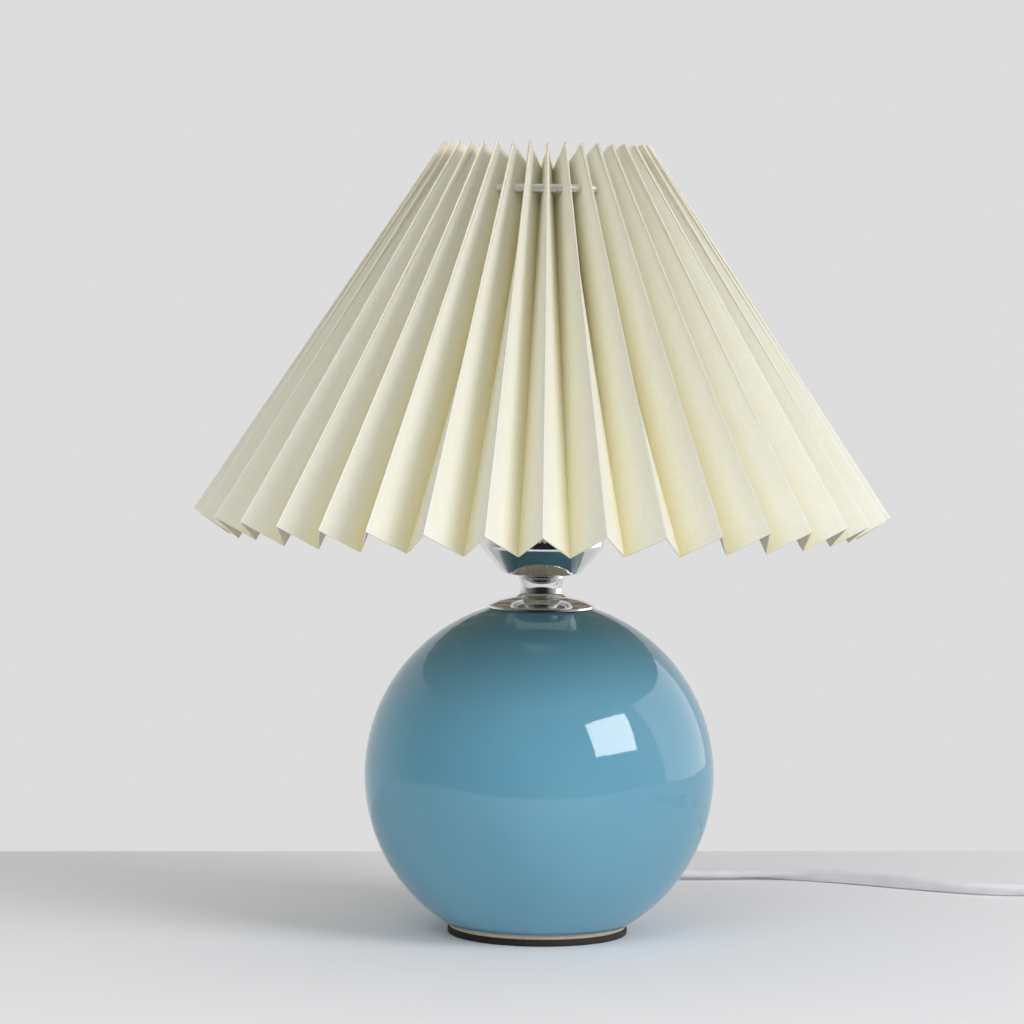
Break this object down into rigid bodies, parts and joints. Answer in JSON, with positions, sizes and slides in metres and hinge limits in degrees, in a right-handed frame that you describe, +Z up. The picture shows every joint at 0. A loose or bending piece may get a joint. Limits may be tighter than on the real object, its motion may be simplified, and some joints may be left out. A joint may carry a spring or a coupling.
{
  "type": "ceramic table lamp",
  "caption": "Small table lamp with a glazed ceramic ball, chrome neck and cup, a screw-in bulb and a wide pleated shade hung on a wire ring, with its switched cord and flat plug.",
  "frame": {"origin": "on the table under the middle of the foot", "axes": "+Z up along the lamp's axis, -Y towards the pictured front, +X to the right, where the cord runs"},
  "size_m": [0.4697, 0.258, 0.2845],
  "materials": {
    "pad_black": "matt",
    "blue_glaze": "glossy glaze",
    "plated_steel": "zinc plated",
    "chrome": "polished",
    "holder_black": "moulded",
    "insulator_white": "unglazed",
    "brass": "plain",
    "cord_white": "soft sheath",
    "fitting_white": "moulded",
    "sleeve_black": "moulded",
    "tie_fabric": "woven strap",
    "frame_white": "enamelled wire",
    "shade_cream": "pleated, paper backed",
    "bulb_opal": "opal"
  },
  "bodies": {
    "lamp_base": {"foot_pad": "pad_black", "ceramic_body": "blue_glaze", "threaded_nipple": "plated_steel", "clamp_washer": "plated_steel", "spring_washer": "plated_steel", "clamp_nut": "plated_steel", "ball_cap": "chrome", "neck_spool": "chrome", "holder_cup": "chrome", "holder_base": "holder_black", "holder_insert": "insulator_white", "holder_skirt": "holder_black", "screw_shell": "brass", "centre_contact": "brass", "terminal_screws": "brass", "terminal_wires": "cord_white", "inner_lead": "cord_white", "cord_outlet": "cord_white", "cord_run": "cord_white", "cord_link": "cord_white", "cord_coil": "cord_white", "cord_tail": "cord_white", "coil_tie": "tie_fabric", "switch_lower": "fitting_white", "switch_upper": "fitting_white", "switch_screws": "plated_steel", "switch_contacts": "brass", "plug_body": "fitting_white", "plug_pins": "plated_steel", "pin_sleeves": "sleeve_black"},
    "shade": {"fitter_ring": "frame_white", "frame_arms": "frame_white", "hanging_ring": "frame_white", "pleated_shade": "shade_cream"},
    "ring_nut": {"ring_nut": "holder_black"},
    "bulb": {"bulb_contact": "plated_steel", "bulb_insulator": "sleeve_black", "bulb_screw_cap": "plated_steel", "bulb_body": "fitting_white", "bulb_globe": "bulb_opal"},
    "rocker": {"switch_rocker": "fitting_white"}
  },
  "joints": [
    {"name": "shade_turn", "type": "hinge", "parent": "lamp_base", "child": "shade", "pos_m": [0, 0, 0.1607], "axis": [0, 0, 1], "continuous": true},
    {"name": "ring_nut_unscrew", "type": "hinge", "parent": "lamp_base", "child": "ring_nut", "pos_m": [0, 0, 0.1656], "axis": [0, 0, 1], "continuous": true},
    {"name": "bulb_unscrew", "type": "slide", "parent": "lamp_base", "child": "bulb", "axis": [0, 0, 1], "range_m": [0, 0.02]},
    {"name": "rocker_tilt", "type": "hinge", "parent": "lamp_base", "child": "rocker", "pos_m": [0.256, 0.0965, 0.01], "axis": [0, 1, 0], "range_deg": [0, 16]}
  ]
}
